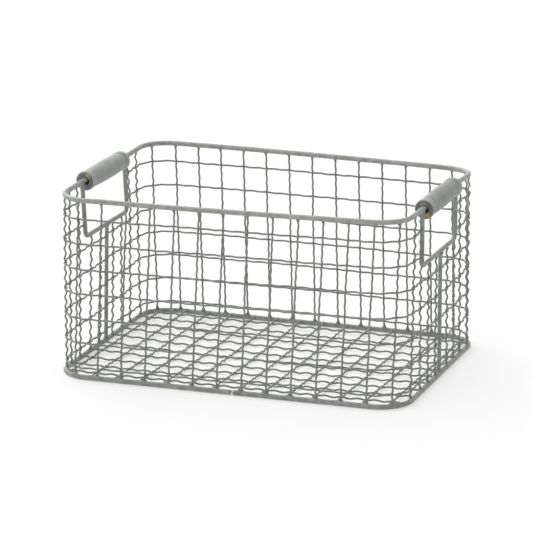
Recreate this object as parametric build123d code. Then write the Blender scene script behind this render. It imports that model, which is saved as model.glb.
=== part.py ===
from build123d import *
from math import cos, pi, sin, sqrt
import os

# Wire locker basket, in millimetres. The origin is on the ground under the middle.
# X runs along the length, Y along the depth (minus Y is the front), Z is up.
# A rod hoop at the rim and a rod ring at the base hold two woven wire panels between them.
# Each panel runs from the left strut to the right strut, one round the front, one round the back.
# On each end wall a rod loop hangs from the rim, and a turned grip spins on the rim inside it.

# Overall sizes, measured between the middles of the wires
wall_length = 353.0
wall_depth = 254.0
hoop_spacing = 179.2
corner_radius = 31.0

# Rod and wire sizes
rod_diameter = 5.0
loop_rod_diameter = 4.5
strut_diameter = 4.0
mesh_wire = 2.0
# Round pieces are made with this many flats, which stand as far apart as the real piece is thick
rod_side_count = 8
grip_side_count = 24

# The base ring stands out from the walls by this much, and the rim stands in by as much
hoop_offset = 1.0
base_ring_gap = 1.5
base_ring_gap_share = 0.02

# Handle loops, hung under the rim
loop_width = 113.5
loop_drop = 56.0
loop_bend_radius = 7.0

# Turned grips
grip_diameter = 19.8
grip_bore_play = 3.5
grip_hang_gap = 0.2
grip_end_play = 5.25
collar_length = 7.0
collar_edge = 1.6
neck_length = 3.0
neck_depth = 1.7
barrel_end_depth = 0.9
ring_groove_width = 1.4
ring_groove_depth = 0.5
ring_groove_spacing = 5.6

# The uprights of the long walls and corners lean this far over their height, with their tops towards
# the panel's right end, seen from outside. Those of the end walls are plumb.
upright_lean = 5.6

# Gaps left where wires cross, and where they are welded to a rod
crossing_gap = 0.45
weld_gap = 0.2

# Cuts run past what they cut by this much
cut_overrun = 2.5

# How many wires there are
wall_wire_count = 12
end_wire_count = 4
upper_weft_count = 2
lower_weft_count = 5
floor_row_count = 10
floor_column_count = 14
left_corner_wire_count = 2
right_corner_wire_count = 1
corner_step_count = 2

# Where the first and last wires of a row stand, as shares of what they cross.
# The wall wires are set along the straight of a long wall, from its left end.
first_wall_wire_share = 0.052
last_wall_wire_share = 0.997
# The end wires are set along the straight half of an end wall, from the strut. The front and back
# panels differ in where the first one stands, and the spread runs from the first to the last.
front_first_end_wire_share = 0.17
back_first_end_wire_share = 0.21
end_wire_spread_share = 0.78
# The upper wefts are set down from the rim, as shares of the drop to the loops' bars.
first_upper_weft_share = 0.336
last_upper_weft_share = 0.782
# The lower wefts are set down from the loops' bars, as shares of the drop to the base ring.
first_lower_weft_share = 0.104
last_lower_weft_share = 0.916
# The floor wires are set across the base ring.
first_row_share = 0.068
last_row_share = 0.921
first_column_share = 0.037
last_column_share = 0.963

# Sizes that follow from those above
rod_radius = rod_diameter / 2
rod_corner_radius = rod_radius / cos(pi / rod_side_count)
loop_rod_radius = loop_rod_diameter / 2
strut_radius = strut_diameter / 2
wire_radius = mesh_wire / 2
base_height = rod_radius
rim_height = base_height + hoop_spacing
half_length = wall_length / 2
half_depth = wall_depth / 2
rim_half_length = half_length - hoop_offset
rim_half_depth = half_depth - hoop_offset
rim_corner_radius = corner_radius - hoop_offset
ring_half_length = half_length + hoop_offset
ring_half_depth = half_depth + hoop_offset
ring_corner_radius = corner_radius + hoop_offset
wall_straight = wall_length - 2 * corner_radius
end_straight = half_depth - corner_radius
corner_arc = corner_radius * pi / 2
panel_length = 2 * end_straight + 2 * corner_arc + wall_straight
weave_offset = wire_radius + crossing_gap / 2
loop_half_width = loop_width / 2
loop_bar_height = rim_height - loop_drop
under_bar_height = loop_bar_height - loop_rod_radius - weld_gap
wire_top = rim_height - rod_radius - weld_gap
wire_foot = base_height + rod_radius + weld_gap
grip_radius = grip_diameter / 2
bore_radius = rod_radius + grip_bore_play / 2
grip_hang = bore_radius - rod_corner_radius - grip_hang_gap
grip_height = rim_height - grip_hang
grip_length = loop_width - loop_rod_diameter - 2 * grip_end_play
grip_half_length = grip_length / 2


def spread(first, last, count):
    """Even positions from first to last."""
    if count == 1:
        return [(first + last) / 2]
    return [first + (last - first) * i / (count - 1) for i in range(count)]


def hoop_outline(half_x, half_y, radius, height):
    """The middle line of a hoop: a rectangle with round corners, flat at one height."""
    straight_x = half_x - radius
    straight_y = half_y - radius
    with BuildLine() as outline:
        for turn in range(4):
            side = turn % 2
            out = (half_y, half_x)[side]
            reach = (straight_x, straight_y)[side]
            angle = 90 * turn
            start = Vector(-reach, -out, height).rotate(Axis.Z, angle)
            end = Vector(reach, -out, height).rotate(Axis.Z, angle)
            middle = Vector(reach, -out + radius, height).rotate(Axis.Z, angle)
            Line(start, end)
            CenterArc(middle, radius, angle - 90, 90)
    return outline.wire()


def rod(path, diameter):
    """A rod swept along a path, with two of its flats level and two upright."""
    section = RegularPolygon(
        diameter / 2,
        rod_side_count,
        major_radius=False,
        rotation=180 / rod_side_count,
    )
    return sweep(Plane(origin=path @ 0, z_dir=path % 0) * section, path=path)


def make_rim_rod():
    outline = hoop_outline(rim_half_length, rim_half_depth, rim_corner_radius, rim_height)
    return rod(outline, rod_diameter)


def make_base_ring():
    """The base ring, bent from one rod whose two ends stop just short of each other in front."""
    outline = hoop_outline(ring_half_length, ring_half_depth, ring_corner_radius, base_height)
    ring = rod(outline, rod_diameter)
    cut_x = base_ring_gap_share * wall_straight
    cut_width = rod_diameter + 2 * cut_overrun
    cut = Box(base_ring_gap, cut_width, cut_width)
    return ring - Pos(cut_x, -ring_half_depth, base_height) * cut


def make_loop(side):
    """A handle loop: two legs under the rim and a bar between them, bent from one rod."""
    x = side * rim_half_length
    top = wire_top
    turn = loop_half_width - loop_bend_radius
    lift = loop_bar_height + loop_bend_radius
    dip = loop_bend_radius * sin(pi / 4)
    with BuildLine() as path:
        Line((x, -loop_half_width, top), (x, -loop_half_width, lift))
        ThreePointArc(
            (x, -loop_half_width, lift),
            (x, -turn - dip, lift - dip),
            (x, -turn, loop_bar_height),
        )
        Line((x, -turn, loop_bar_height), (x, turn, loop_bar_height))
        ThreePointArc(
            (x, turn, loop_bar_height),
            (x, turn + dip, lift - dip),
            (x, loop_half_width, lift),
        )
        Line((x, loop_half_width, lift), (x, loop_half_width, top))
    return rod(path.wire(), loop_rod_diameter)


def make_strut(side):
    """The upright rod in the middle of an end wall, where the two panels meet."""
    x = side * half_length
    path = Edge.make_line((x, 0, wire_foot), (x, 0, under_bar_height))
    return rod(path, strut_diameter)


def grip_outline():
    """The grip's outline, as distance along it and radius, from one end to the other."""
    neck_start = grip_half_length - collar_length
    half_groove = ring_groove_width / 2
    groove_radius = grip_radius - ring_groove_depth
    half = [
        (grip_half_length, grip_radius - collar_edge),
        (grip_half_length - collar_edge, grip_radius),
        (neck_start + collar_edge, grip_radius),
        (neck_start, grip_radius - neck_depth),
        (neck_start - neck_length, grip_radius - barrel_end_depth),
        (ring_groove_spacing + half_groove, grip_radius),
        (ring_groove_spacing, groove_radius),
        (ring_groove_spacing - half_groove, grip_radius),
        (half_groove, grip_radius),
    ]
    other = [(-along, radius) for along, radius in reversed(half)]
    return half + [(0, groove_radius)] + other


def grip_ring(along, radius):
    """The corners of the grip's many-sided section at one place along it."""
    reach = radius / cos(pi / grip_side_count)
    angles = [2 * pi * i / grip_side_count for i in range(grip_side_count)]
    return [Vector(reach * cos(angle), along, reach * sin(angle)) for angle in angles]


def make_grip(side):
    """A turned grip with a loose bore, hanging on the rim rod and free to spin on it."""
    rings = [grip_ring(along, radius) for along, radius in grip_outline()]
    outlines = [rings[0], rings[-1]]
    for ring, next_ring in zip(rings, rings[1:]):
        for i in range(grip_side_count):
            outlines.append([ring[i - 1], ring[i], next_ring[i], next_ring[i - 1]])
    flats = [Face(Wire.make_polygon(outline)) for outline in outlines]
    bore = Rot(90, 0, 0) * Cylinder(bore_radius, grip_length + 2 * cut_overrun)
    grip = Solid(Shell(flats)) - bore
    return Pos(side * rim_half_length, 0, grip_height) * grip


def panel_point(along):
    """A point on the front panel and the direction out of it, by the distance from the left strut."""
    turn_start = end_straight
    wall_start = turn_start + corner_arc
    wall_end = wall_start + wall_straight
    turn_end = wall_end + corner_arc
    straight_x = half_length - corner_radius
    if along <= turn_start:
        return Vector(-half_length, -along), Vector(-1, 0)
    if along < wall_start:
        angle = (along - turn_start) / corner_radius
        out = Vector(-cos(angle), -sin(angle))
        return Vector(-straight_x, -end_straight) + out * corner_radius, out
    if along <= wall_end:
        return Vector(-straight_x + along - wall_start, -half_depth), Vector(0, -1)
    if along < turn_end:
        angle = (along - wall_end) / corner_radius
        out = Vector(sin(angle), -cos(angle))
        return Vector(straight_x, -end_straight) + out * corner_radius, out
    return Vector(half_length, -end_straight + along - turn_end), Vector(1, 0)


def panel_stations(first_end_share):
    """Where each group of uprights stands along a panel, from one strut, halfway up."""
    first_end = first_end_share * end_straight
    last_end = first_end + end_wire_spread_share * end_straight
    wall_start = end_straight + corner_arc
    first_wall = wall_start + first_wall_wire_share * wall_straight
    last_wall = wall_start + last_wall_wire_share * wall_straight
    left_end = spread(first_end, last_end, end_wire_count)
    wall = spread(first_wall, last_wall, wall_wire_count)
    right_end = [panel_length - along for along in reversed(left_end)]
    left_corner = spread(last_end, first_wall, left_corner_wire_count + 2)[1:-1]
    right_corner = spread(last_wall, right_end[0], right_corner_wire_count + 2)[1:-1]
    return {
        "left_end": left_end,
        "left_corner": left_corner,
        "wall": wall,
        "right_corner": right_corner,
        "right_end": right_end,
    }


def weft_heights():
    """The height of each weft, from the top one down."""
    lower_drop = loop_bar_height - base_height
    first_upper = rim_height - first_upper_weft_share * loop_drop
    last_upper = rim_height - last_upper_weft_share * loop_drop
    first_lower = loop_bar_height - first_lower_weft_share * lower_drop
    last_lower = loop_bar_height - last_lower_weft_share * lower_drop
    upper = spread(first_upper, last_upper, upper_weft_count)
    lower = spread(first_lower, last_lower, lower_weft_count)
    return upper + lower


def on_end_wall(along):
    """Whether an upright stands on the straight of an end wall."""
    return min(along, panel_length - along) < end_straight


def along_at(along, height):
    """Where an upright is at a height, by where it is halfway up."""
    if on_end_wall(along):
        return along
    middle = (wire_top + wire_foot) / 2
    return along + upright_lean * (height - middle) / (wire_top - wire_foot)


def weave_side(wire_index, weft_index):
    """Plus one where the weft passes outside the upright, minus one where it passes inside."""
    return 1 if (wire_index + weft_index) % 2 == 0 else -1


def ribbon(plane, stations, width):
    """A crimped wire: a zigzag outline drawn on a plane and thickened evenly to both sides of it."""
    outer = [(along, offset + wire_radius) for along, offset in stations]
    inner = [(along, offset - wire_radius) for along, offset in stations]
    outline = make_face(Polyline(*(outer + inner[::-1]), close=True))
    return extrude(plane * outline, amount=width / 2, both=True)


def in_corner(start, end):
    """Whether a stretch of the panel touches a rounded corner."""
    wall_start = end_straight + corner_arc
    wall_end = wall_start + wall_straight
    near_left = start < wall_start and end > end_straight
    near_right = start < wall_end + corner_arc and end > wall_end
    return near_left or near_right


def weft_stations(height, weft_index, all_along):
    """Where a weft bends in or out, as distance along the panel and offset out of it."""
    clear = strut_radius + weld_gap
    if height > loop_bar_height:
        clear = loop_half_width + loop_rod_radius + weld_gap
    bends = [(clear, 0)]
    for index, middle_along in enumerate(all_along):
        along = along_at(middle_along, height)
        if clear < along < panel_length - clear:
            bends.append((along, weave_side(index, weft_index) * weave_offset))
    bends.append((panel_length - clear, 0))
    stations = [bends[0]]
    for (start, start_offset), (end, end_offset) in zip(bends, bends[1:]):
        steps = corner_step_count if in_corner(start, end) else 1
        for step in range(1, steps + 1):
            share = step / steps
            along = start + (end - start) * share
            offset = start_offset + (end_offset - start_offset) * share
            stations.append((along, offset))
    return stations


def make_weft(height, weft_index, all_along):
    """One lengthwise wire of the front panel, bent round both corners and crimped over the uprights."""
    outer = []
    inner = []
    for along, offset in weft_stations(height, weft_index, all_along):
        point, out = panel_point(along)
        outer.append(point + out * (offset + wire_radius))
        inner.append(point + out * (offset - wire_radius))
    outline = make_face(Polyline(*(outer + inner[::-1]), close=True))
    return extrude(Pos(0, 0, height) * outline, amount=wire_radius, both=True)


def make_upright(along, wire_index):
    """One upright of the front panel, crimped round the wefts, from the base ring to the rim."""
    under_loop = min(along, panel_length - along) < loop_half_width
    top = under_bar_height if under_loop else wire_top
    foot_point, foot_out = panel_point(along_at(along, wire_foot))
    top_point, top_out = panel_point(along_at(along, top))
    out = (foot_out + top_out).normalized()
    rise = top_point + Vector(0, 0, top) - foot_point - Vector(0, 0, wire_foot)
    slant = rise.length / (top - wire_foot)
    bends = [(rise.length, 0)]
    for weft_index, height in enumerate(weft_heights()):
        if height < top:
            offset = -weave_side(wire_index, weft_index) * weave_offset
            bends.append(((height - wire_foot) * slant, offset))
    bends.append((0, 0))
    plane = Plane(
        origin=foot_point + Vector(0, 0, wire_foot),
        x_dir=rise,
        z_dir=rise.cross(out),
    )
    return ribbon(plane, bends, mesh_wire)


def make_panel(first_end_share, turn):
    """A woven panel, made as the front one and turned about Z: its wefts, and its uprights by group."""
    stations = panel_stations(first_end_share)
    all_along = [along for name in stations for along in stations[name]]
    wefts = []
    for weft_index, height in enumerate(weft_heights()):
        wefts.append(Rot(0, 0, turn) * make_weft(height, weft_index, all_along))
    uprights = {}
    wire_index = 0
    for name, positions in stations.items():
        uprights[name] = []
        for along in positions:
            uprights[name].append(Rot(0, 0, turn) * make_upright(along, wire_index))
            wire_index += 1
    return wefts, uprights


def ring_reach(offset, half_along, half_across):
    """How far a floor wire may run before it meets the inside of the base ring."""
    edge = abs(offset) + wire_radius
    straight = half_across - ring_corner_radius
    inner_radius = ring_corner_radius - rod_radius
    reach = half_along - rod_radius
    if edge > straight:
        drop = edge - straight
        reach = half_along - ring_corner_radius + sqrt(inner_radius**2 - drop**2)
    return reach - weld_gap


def floor_lines(first_share, last_share, half_across, count):
    """Where the floor wires of one direction lie across the ring."""
    first = -half_across + 2 * half_across * first_share
    last = -half_across + 2 * half_across * last_share
    return spread(first, last, count)


def floor_wire(line, half_along, half_across, crossings, own_index, side, x_dir, out_dir):
    """One crimped floor wire, ending just inside the base ring."""
    reach = ring_reach(line, half_along, half_across)
    bends = [(-reach, 0)]
    for index, crossing in enumerate(crossings):
        if abs(crossing) < reach - mesh_wire:
            bends.append((crossing, side * weave_side(own_index, index) * weave_offset))
    bends.append((reach, 0))
    across = Vector(*out_dir) * line
    plane = Plane(
        origin=(across.X, across.Y, base_height),
        x_dir=x_dir,
        z_dir=Vector(*x_dir).cross(Vector(0, 0, 1)),
    )
    return ribbon(plane, bends, mesh_wire)


def group(shapes):
    """Several separate solids kept together in one node."""
    return Compound(children=[Solid(shape.solid().wrapped) for shape in shapes])


def main():
    os.makedirs("parts", exist_ok=True)
    rows = floor_lines(first_row_share, last_row_share, ring_half_depth, floor_row_count)
    columns = floor_lines(
        first_column_share, last_column_share, ring_half_length, floor_column_count
    )
    front_wefts, front = make_panel(front_first_end_wire_share, 0)
    back_wefts, back = make_panel(back_first_end_wire_share, 180)

    parts = {
        "rim_rod": make_rim_rod(),
        "base_ring": make_base_ring(),
        "handle_loop_left": make_loop(-1),
        "handle_loop_right": make_loop(1),
        "strut_left": make_strut(-1),
        "strut_right": make_strut(1),
        "grip_left": make_grip(-1),
        "grip_right": make_grip(1),
    }

    for number, weft in enumerate(front_wefts, start=1):
        parts[f"front_weft_{number}"] = weft
    for number, weft in enumerate(back_wefts, start=1):
        parts[f"back_weft_{number}"] = weft

    # Seen from above, the back panel's left end stands at the basket's right end.
    parts["front_uprights"] = group(front["wall"])
    parts["back_uprights"] = group(back["wall"])
    parts["front_left_corner_uprights"] = group(front["left_corner"])
    parts["front_right_corner_upright"] = group(front["right_corner"])
    parts["back_right_corner_uprights"] = group(back["left_corner"])
    parts["back_left_corner_upright"] = group(back["right_corner"])
    parts["left_wall_uprights"] = group(front["left_end"] + back["right_end"])
    parts["right_wall_uprights"] = group(front["right_end"] + back["left_end"])

    floor_rows = []
    for index, line in enumerate(rows):
        floor_rows.append(
            floor_wire(line, ring_half_length, ring_half_depth, columns, index, 1, (1, 0, 0), (0, 1, 0))
        )
    floor_columns = []
    for index, line in enumerate(columns):
        floor_columns.append(
            floor_wire(line, ring_half_depth, ring_half_length, rows, index, -1, (0, 1, 0), (1, 0, 0))
        )
    parts["floor_lengthwise_wires"] = group(floor_rows)
    parts["floor_crosswise_wires"] = group(floor_columns)

    for name, shape in parts.items():
        export_step(shape, f"parts/{name}.step")
        print(name, len(shape.solids()), round(shape.volume, 1))


main()
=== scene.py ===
# %% [markdown]
# # A wire locker basket
# The basket is a rod hoop and a rod ring with crimped wire woven between them, and a turned wooden
# grip at each end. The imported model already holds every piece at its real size, as ribbons and
# prisms with few faces. This lesson lays a finer piece along each of those solids: round wires with
# their full crimp, ends that flare where they are welded, and grips with beads and fine rings.
# Everything is in metres, with X along the basket, Y to the back and Z up.

# %% Load the fixed frame
import math
import random

import bmesh
import bpy
import numpy as np
from mathutils import Matrix, Vector


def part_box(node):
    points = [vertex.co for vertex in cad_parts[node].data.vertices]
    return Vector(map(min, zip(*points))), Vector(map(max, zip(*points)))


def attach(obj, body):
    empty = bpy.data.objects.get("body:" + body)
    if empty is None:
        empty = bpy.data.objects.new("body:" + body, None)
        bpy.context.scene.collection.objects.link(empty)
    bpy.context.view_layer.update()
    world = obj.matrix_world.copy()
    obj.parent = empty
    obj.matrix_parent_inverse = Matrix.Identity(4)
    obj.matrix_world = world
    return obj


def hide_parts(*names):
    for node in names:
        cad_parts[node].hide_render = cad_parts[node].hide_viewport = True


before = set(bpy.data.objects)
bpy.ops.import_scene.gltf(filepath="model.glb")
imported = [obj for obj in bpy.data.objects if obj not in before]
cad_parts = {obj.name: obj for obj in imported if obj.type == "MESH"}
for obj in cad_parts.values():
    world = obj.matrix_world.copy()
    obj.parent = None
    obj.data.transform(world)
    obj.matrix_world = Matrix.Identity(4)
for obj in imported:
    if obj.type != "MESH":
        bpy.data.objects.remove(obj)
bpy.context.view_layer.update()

# %% [markdown]
# ## Sizes
# A finer piece has to lie where its solid lies, so its sizes are read from the frame wherever they
# can be. A hoop's box gives its outline and its rod, and a loop's box its width and drop. Only what
# a box can't say, such as a bend radius, is written here, in millimetres.

# %% Read the main sizes from the frame
MM = 0.001


def box_of(node):
    """The middle of a node's box, and half its size."""
    low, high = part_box(node)
    return (low + high) / 2, (high - low) / 2


rim_middle, rim_half = box_of("rim_rod")
ring_middle, ring_half = box_of("base_ring")
loop_middle, loop_half = box_of("handle_loop_right")
_, strut_half = box_of("strut_right")
_, grip_half = box_of("grip_right")

rod_radius = rim_half.z
loop_rod_radius = loop_half.x
strut_radius = strut_half.x
rim_height = rim_middle.z
ring_height = ring_middle.z
rim_half_length = rim_half.x - rod_radius
rim_half_depth = rim_half.y - rod_radius
ring_half_length = ring_half.x - rod_radius
ring_half_depth = ring_half.y - rod_radius
half_length = (rim_half_length + ring_half_length) / 2
half_depth = (rim_half_depth + ring_half_depth) / 2
hoop_offset = (ring_half_length - rim_half_length) / 2
loop_bar_height = loop_middle.z - loop_half.z + loop_rod_radius
loop_half_width = loop_half.y - loop_rod_radius


def in_mm(lengths):
    """Lengths in millimetres, for the lines that the cells print."""
    return [round(float(length) / MM, 2) for length in lengths]


print("radii of rim, loops and struts", in_mm((rod_radius, loop_rod_radius, strut_radius)))
print("half the walls, and the rim's height", in_mm((half_length, half_depth, rim_height)))

# %% Bend radii and wire sizes that a box can't give
corner_radius = 31 * MM
near_bend_radius = 5.5 * MM
far_bend_radius = 7.5 * MM
wire_radius = 0.97 * MM
long_crimp_depth = 0.97 * MM
cross_crimp_depth = 0.80 * MM
mesh_pitch = 25 * MM

end_straight = half_depth - corner_radius
corner_arc = corner_radius * math.pi / 2
straight_x = half_length - corner_radius
wall_start = end_straight + corner_arc
wall_end = wall_start + 2 * straight_x
panel_length = wall_start + wall_end
print("one panel's length", in_mm([panel_length]))

# %% [markdown]
# ## Chance, but the same each time
# No two wires of a real basket lie quite alike. Each wire gets its own small drift, drawn from a
# generator with a fixed seed, so that the basket looks hand-finished and still comes out the same
# on every run.

# %% A seeded generator and a slow drift
chance = random.Random(1912)
weft_drift = 0.3 * MM
cross_drift = 0.35 * MM
drift_waves = {"upright": 90 * MM, "weft": 140 * MM, "floor": 110 * MM}


def drift(distance, reach, kind):
    """A slow sideways drift along a wire: three sine waves with random phases."""
    wave = drift_waves[kind]
    total = np.zeros_like(distance)
    for share, stretch in ((0.6, 1.0), (0.3, 0.55), (0.1, 0.27)):
        phase = chance.uniform(0, 2 * math.pi)
        total += share * np.sin(2 * math.pi * distance / (wave * stretch) + phase)
    return reach * total


def held_drift(distance, share, kind):
    """The drift of a wire that is held at both ends, where the share of its way is 0 and 1."""
    return drift(distance, cross_drift, kind) * np.sin(math.pi * np.clip(share, 0, 1))


# %% [markdown]
# ## Tubes
# Wires, rods and loops are all round bars that follow a line. Blender's curves could make them, but
# here each ring of points also needs its own width where the wire is welded, and its own mark where
# the paint wears and where a painted highlight lies. So the tubes are laid ring by ring, with the
# direction along the weld (side) and the direction out of the wall (out) known at every ring.

# %% One tube, as rings of points
upward = np.array((0, 0, 1.0))
dome_forward = np.array((0.35, 0.75, 0.95))
dome_narrow = np.array((0.93, 0.66, 0.32))
dome_rings = len(dome_forward)


def around(sides):
    """The angles of the points of one ring."""
    return np.linspace(0, 2 * math.pi, sides, endpoint=False)


def tube_rings(points, side, out, half_side, half_out, sides):
    """The rings of one tube, as an array of rings by sides by three."""
    turn = around(sides)
    across = np.cos(turn)[None, :, None] * side[:, None, :] * half_side[:, None, None]
    outward = np.sin(turn)[None, :, None] * out[:, None, :] * half_out[:, None, None]
    return points[:, None, :] + across + outward


def unit(vectors):
    """The same vectors at length one."""
    return vectors / np.linalg.norm(vectors, axis=1)[:, None]


def dome(points, side, out, half_side, half_out):
    """Adds short rounded ends to a tube's rings, so that a cut wire end isn't a sharp disc."""
    first, last = [
        points[end] + unit(points[[end]] - points[[near]]) * half_out[end] * dome_forward[:, None]
        for end, near in ((0, 1), (-1, -2))
    ]
    points = np.concatenate([first[::-1], points, last])
    side, out = [np.pad(given, ((dome_rings,) * 2, (0, 0)), "edge") for given in (side, out)]
    half_side, half_out = [
        np.concatenate([half[0] * dome_narrow[::-1], half, half[-1] * dome_narrow])
        for half in (half_side, half_out)
    ]
    return points, side, out, half_side, half_out


# %% A mesh that gathers many tubes
def new_object(name, data):
    """Puts a mesh, a lamp or a camera into the scene as an object."""
    made = bpy.data.objects.new(name, data)
    bpy.context.scene.collection.objects.link(made)
    return made


class TubeMesh:
    """Gathers tubes into one mesh object, with marks for the paint on every point."""

    def __init__(self):
        self.points, self.faces, self.marks, self.count = [], [], {}, 0

    def add(self, rings, closed=False, wear=0.0, **marks):
        """Adds one tube from its rings. A mark is a number, or an array of rings by sides."""
        ring_count, sides, _ = rings.shape
        index = self.count + np.arange(ring_count * sides).reshape(ring_count, sides)
        following = np.roll(index, -1, axis=0) if closed else index[1:]
        current = index if closed else index[:-1]
        quads = np.stack(
            [current, np.roll(current, -1, axis=1), np.roll(following, -1, axis=1), following],
            axis=-1,
        )
        self.faces.extend(quads.reshape(-1, 4).tolist())
        if not closed:
            self.faces.append(index[0][::-1].tolist())
            self.faces.append(index[-1].tolist())
        self.points.append(rings.reshape(-1, 3))
        for name, values in {"wear": wear, **marks}.items():
            values = np.broadcast_to(values, (ring_count, sides)).reshape(-1)
            self.marks.setdefault(name, []).append(values)
        self.count += ring_count * sides

    def build(self, name, node, body="frame", slot_name="painted_wire"):
        """Makes the object, puts it on the body it rides on, and hides the node that it stands for.
        """
        mesh = bpy.data.meshes.new(name)
        mesh.from_pydata(np.concatenate(self.points).tolist(), [], self.faces)
        for mark_name, values in self.marks.items():
            mark = mesh.attributes.new(mark_name, "FLOAT", "POINT")
            mark.data.foreach_set("value", np.concatenate(values).astype(np.float32))
        mesh.polygons.foreach_set("use_smooth", [True] * len(mesh.polygons))
        mesh.update()
        piece = new_object(name, mesh)
        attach(piece, body)
        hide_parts(node)
        print(name, len(mesh.vertices), "points")
        return piece


# %% [markdown]
# ## Where the wires lie
# The frame's solids say where each wire starts and ends. A node such as front_uprights holds twelve
# separate wires, so its mesh is split into its loose islands first, on a copy. An upright runs from
# the middle of its lowest points to the middle of its highest ones.

# %% Split a node into its separate solids
def islands(node):
    """The corner points of each separate solid of a node, as a list of arrays."""
    shape = bmesh.new()
    shape.from_mesh(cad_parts[node].data)
    bmesh.ops.remove_doubles(shape, verts=shape.verts, dist=1e-6)
    seen = set()
    found = []
    for start in shape.verts:
        if start in seen:
            continue
        seen.add(start)
        queue = [start]
        group = []
        while queue:
            vertex = queue.pop()
            group.append(tuple(vertex.co))
            for edge in vertex.link_edges:
                other = edge.other_vert(vertex)
                if other not in seen:
                    seen.add(other)
                    queue.append(other)
        found.append(np.array(group))
    shape.free()
    return found


def ends_along(points, axis):
    """The middles of a wire's two ends, found along an axis: the low end and the high end."""
    place = points[:, axis]
    near = 0.2 * MM
    low = points[place < place.min() + near].mean(axis=0)
    high = points[place > place.max() - near].mean(axis=0)
    return low, high


# %% [markdown]
# ## The panels' own line
# Each woven panel starts at the left strut, goes round a corner, along a long wall, round the next
# corner and on to the right strut. Distance along that line is the natural ruler for the weave, so
# one function turns a distance into a place and the direction out of the basket, and another goes
# back. The back panel is the same line turned half a turn about the middle.

# %% From distance to place, and back
def panel_place(distance):
    """Places on the front panel's line, and the directions out of it, for an array of distances."""
    left_arc = np.clip(distance - end_straight, 0, corner_arc)
    right_arc = np.clip(distance - wall_end, 0, corner_arc)
    right_end = np.maximum(distance - wall_end - corner_arc, 0)
    angle = (left_arc + right_arc) / corner_radius
    out = np.column_stack([-np.cos(angle), -np.sin(angle), np.zeros_like(angle)])
    place = out * corner_radius
    place[:, 0] += np.clip(distance - wall_start, 0, 2 * straight_x) - straight_x
    place[:, 1] += right_end - np.minimum(distance, end_straight)
    return place, out


def panel_distance(x, y):
    """How far along the front panel a point on it lies."""
    if y >= -end_straight:
        return -y if x < 0 else panel_length + y
    if abs(x) < straight_x:
        return wall_start + straight_x + x
    along = end_straight + corner_radius * math.atan2(-end_straight - y, abs(x) - straight_x)
    return along if x < 0 else panel_length - along


# %% Gather the uprights of both panels, in order along the panel
half_turns = {"front": 1, "back": -1}
uprights = {}
for panel, sign in half_turns.items():
    uprights[panel] = []
    for node in [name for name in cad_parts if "upright" in name]:
        for points in islands(node):
            foot, top = ends_along(points, 2)
            if sign * (foot[1] + top[1]) <= 0:
                uprights[panel].append({
                    "node": node,
                    "foot": panel_distance(*sign * foot[:2]),
                    "top": panel_distance(*sign * top[:2]),
                    "low": foot[2],
                    "high": top[2],
                })
    uprights[panel].sort(key=lambda wire: wire["foot"])
    for end in ("foot", "top"):
        print(panel, "panel,", end, "at", in_mm(wire[end] for wire in uprights[panel]))

weft_heights = []
while f"front_weft_{len(weft_heights) + 1}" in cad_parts:
    low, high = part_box(f"front_weft_{len(weft_heights) + 1}")
    weft_heights.append((low.z + high.z) / 2)
print("wefts at", in_mm(weft_heights))


# %% [markdown]
# ## Years of use
# The basket in the photograph isn't quite true any more. Its left end wall is pushed in at the
# height of the loop's bar, both loops stand a little nearer to the front, and at the right the back
# wall's uprights have crept together. The rim is twisted by a millimetre, with its front left and
# back right corners down, and the wires go with the rods that carry them. The uprights were set by
# eye, and most of those in the corners lean, so each has its own small shift along the panel at its
# foot and at its top. The wefts droop at the right end wall, the rim's front side sags in the
# middle, and its back side drops towards the right. The tables say all this in millimetres.

# %% Small shifts of the rods and the wires
end_wall_push = 2.8 * MM
loop_shift = {"left": -2.6 * MM, "right": -2.7 * MM}
loop_narrowing = {"left": 1.2 * MM, "right": 0.0}
extra_lean = {"front": 0.8 * MM, "back": -0.8 * MM}
back_squeeze = 1.8 * MM
rim_twist = 1.0 * MM
upper_weft_share = 0.6
weft_shift_places = (28, 76, 123, 171, 219, 266, 314, 362, 409, 457, 505, 552)
weft_shifts = {
    "front": (0, 0, -1.2, -0.9, -1.0, -0.6, -0.4, 0.0, 0.2, 0.9, -1.4, -3.4),
    "back": (-4.2, -3.6, -1.5, -1.2, -0.5, 0.0, 0.3, 0.2, 0.0, 0.1, 1.5, 1.3),
}
upright_shifts = {
    "front": (
        (0.0, -0.6), (0.8, -0.6), (1.5, 4.2), (0.0, -1.8), (-6.0, -2.0), (-1.8, -1.8),
        (0.0, 0.1), (-0.4, 0.4), (-0.4, 0.0), (-0.8, 0.0), (-0.9, 0.1), (-1.0, 0.0),
        (-0.6, -0.2), (-0.4, 0.1), (-0.3, 0.5), (-0.2, 0.4), (0.1, 0.5), (0.5, 0.9),
        (-1.4, -1.1), (-5.0, 6.0), (0.8, -0.5), (1.8, 1.2), (2.4, 2.4),
    ),
    "back": (
        (5.5, 2.8), (3.4, 2.6), (1.8, -4.0), (3.8, 3.2), (-3.2, 0.5), (-1.3, -0.6),
        (-0.1, -0.3), (0.4, 0.3), (1.0, 0.6), (1.3, 0.8), (1.6, 1.0), (2.0, 1.4),
        (1.9, 1.4), (1.3, 1.4), (0.8, 1.2), (0.5, 0.9), (0.4, 0.6), (0.6, 0.8),
        (0.5, 0.9), (-1.0, 7.5), (3.2, 6.8), (2.4, 5.8), (2.4, 3.0),
    ),
}
rim_lift_places = (-176, -160, -130, -65, 0, 63, 127, 160, 176)
rim_lifts = {
    "front": (-0.6, -0.6, -0.45, -0.9, -0.7, -0.35, 0.25, 0.45, 0.5),
    "back": (0.9, 0.4, 0.45, 0.65, 0.2, -0.6, -1.4, -2.2, -2.2),
}


def smooth(share):
    """A share from nothing to one, eased in and out."""
    return share * share * (3 - 2 * share)


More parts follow.
